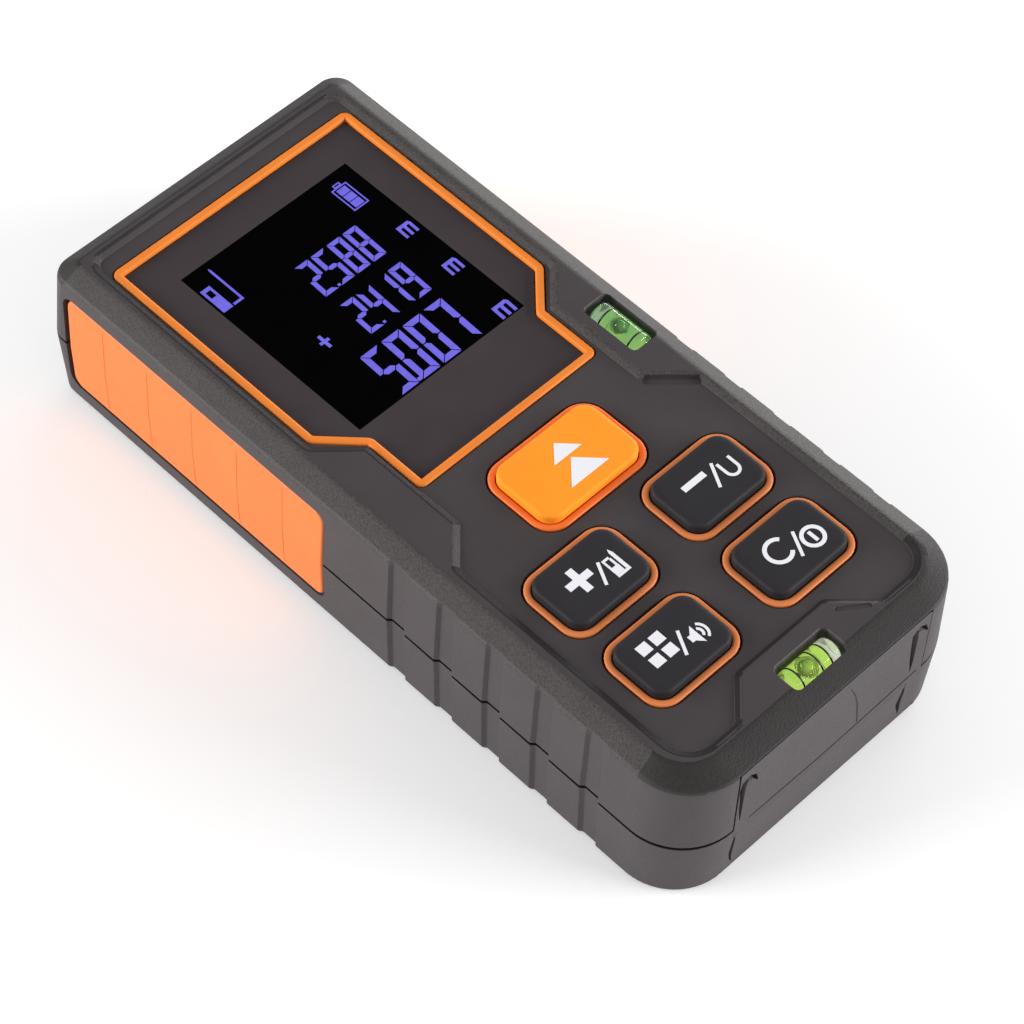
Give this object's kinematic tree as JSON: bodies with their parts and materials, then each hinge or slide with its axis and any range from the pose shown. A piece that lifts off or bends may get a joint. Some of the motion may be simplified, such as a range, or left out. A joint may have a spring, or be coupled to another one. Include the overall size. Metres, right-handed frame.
{
  "type": "laser distance meter",
  "caption": "Pocket laser distance meter with a slanted display bezel, rounded keys, ribbed sides, bubble vials in the top face and a sliding battery cover in the back.",
  "frame": {"origin": "middle of the flat back face on which the meter lies", "axes": "+Z out of the display, +Y towards the end that the laser fires from, +X to the right of the read-out"},
  "size_m": [0.0504, 0.112, 0.0254],
  "materials": {
    "body_rubberised": "dark warm-grey moulded casing, fine spark texture on the bevel",
    "insert_orange": "satin orange soft-touch insert",
    "bezel_orange": "satin orange trim",
    "ring_orange": "satin orange silicone",
    "key_orange": "satin orange silicone key",
    "key_black": "satin black silicone key",
    "display_window": "dark satin acrylic",
    "lcd": "black backlit display",
    "backlight": "white light guide",
    "ribbon": "amber polyimide",
    "vial": "clear acrylic with green liquid",
    "cradle": "pale plastic",
    "board": "green solder mask",
    "chip": "black epoxy",
    "switch": "black thermoplastic",
    "chassis": "black anodised die casting",
    "brass": "turned",
    "lens": "clear coated glass",
    "front_trim": "black moulded frame",
    "steel": "zinc-plated screw",
    "contact": "nickel plated spring steel",
    "cell": "plain printed sleeve"
  },
  "bodies": {
    "casing": {"front_shell": "body_rubberised", "rear_shell": "body_rubberised", "side_insert_left": "insert_orange", "side_insert_right": "insert_orange", "display_bezel": "bezel_orange", "display_window": "display_window", "lcd_panel": "lcd", "lcd_backlight": "backlight", "lcd_ribbon": "ribbon", "keypad_mat": "ring_orange", "switch_measure": "switch", "switch_minus": "switch", "switch_power": "switch", "switch_plus": "switch", "switch_mode": "switch", "side_vial": "vial", "side_vial_cradle": "cradle", "end_vial": "vial", "end_vial_cradle": "cradle", "main_board": "board", "processor_chip": "chip", "buzzer": "chip", "optics_chassis": "chassis", "laser_barrel": "brass", "laser_diode": "contact", "collimator_lens": "lens", "receiver_lens": "lens", "receiver_board": "board", "receiver_sensor": "contact", "front_bezel": "front_trim", "front_window": "lens", "battery_left": "cell", "battery_right": "cell", "contact_link": "contact", "contact_positive": "contact", "contact_negative": "contact", "spring_near": "contact", "spring_far": "contact", "case_screw_1": "steel", "case_screw_2": "steel", "case_screw_3": "steel", "case_screw_4": "steel", "board_screw_1": "steel", "board_screw_2": "steel"},
    "key_measure": {"key_measure": "key_orange"},
    "key_minus": {"key_minus": "key_black"},
    "key_power": {"key_power": "key_black"},
    "key_plus": {"key_plus": "key_black"},
    "key_mode": {"key_mode": "key_black"},
    "battery_cover": {"battery_cover": "body_rubberised"}
  },
  "joints": [
    {"name": "press_measure", "type": "slide", "parent": "casing", "child": "key_measure", "axis": [0, 0, -1], "range_m": [0, 0.0008], "stiffness_N_per_m": 300},
    {"name": "press_minus", "type": "slide", "parent": "casing", "child": "key_minus", "axis": [0, 0, -1], "range_m": [0, 0.0008], "stiffness_N_per_m": 300},
    {"name": "press_power", "type": "slide", "parent": "casing", "child": "key_power", "axis": [0, 0, -1], "range_m": [0, 0.0008], "stiffness_N_per_m": 300},
    {"name": "press_plus", "type": "slide", "parent": "casing", "child": "key_plus", "axis": [0, 0, -1], "range_m": [0, 0.0008], "stiffness_N_per_m": 300},
    {"name": "press_mode", "type": "slide", "parent": "casing", "child": "key_mode", "axis": [0, 0, -1], "range_m": [0, 0.0008], "stiffness_N_per_m": 300},
    {"name": "cover_slide", "type": "slide", "parent": "casing", "child": "battery_cover", "axis": [0, -1, 0], "range_m": [0, 0.055]}
  ]
}
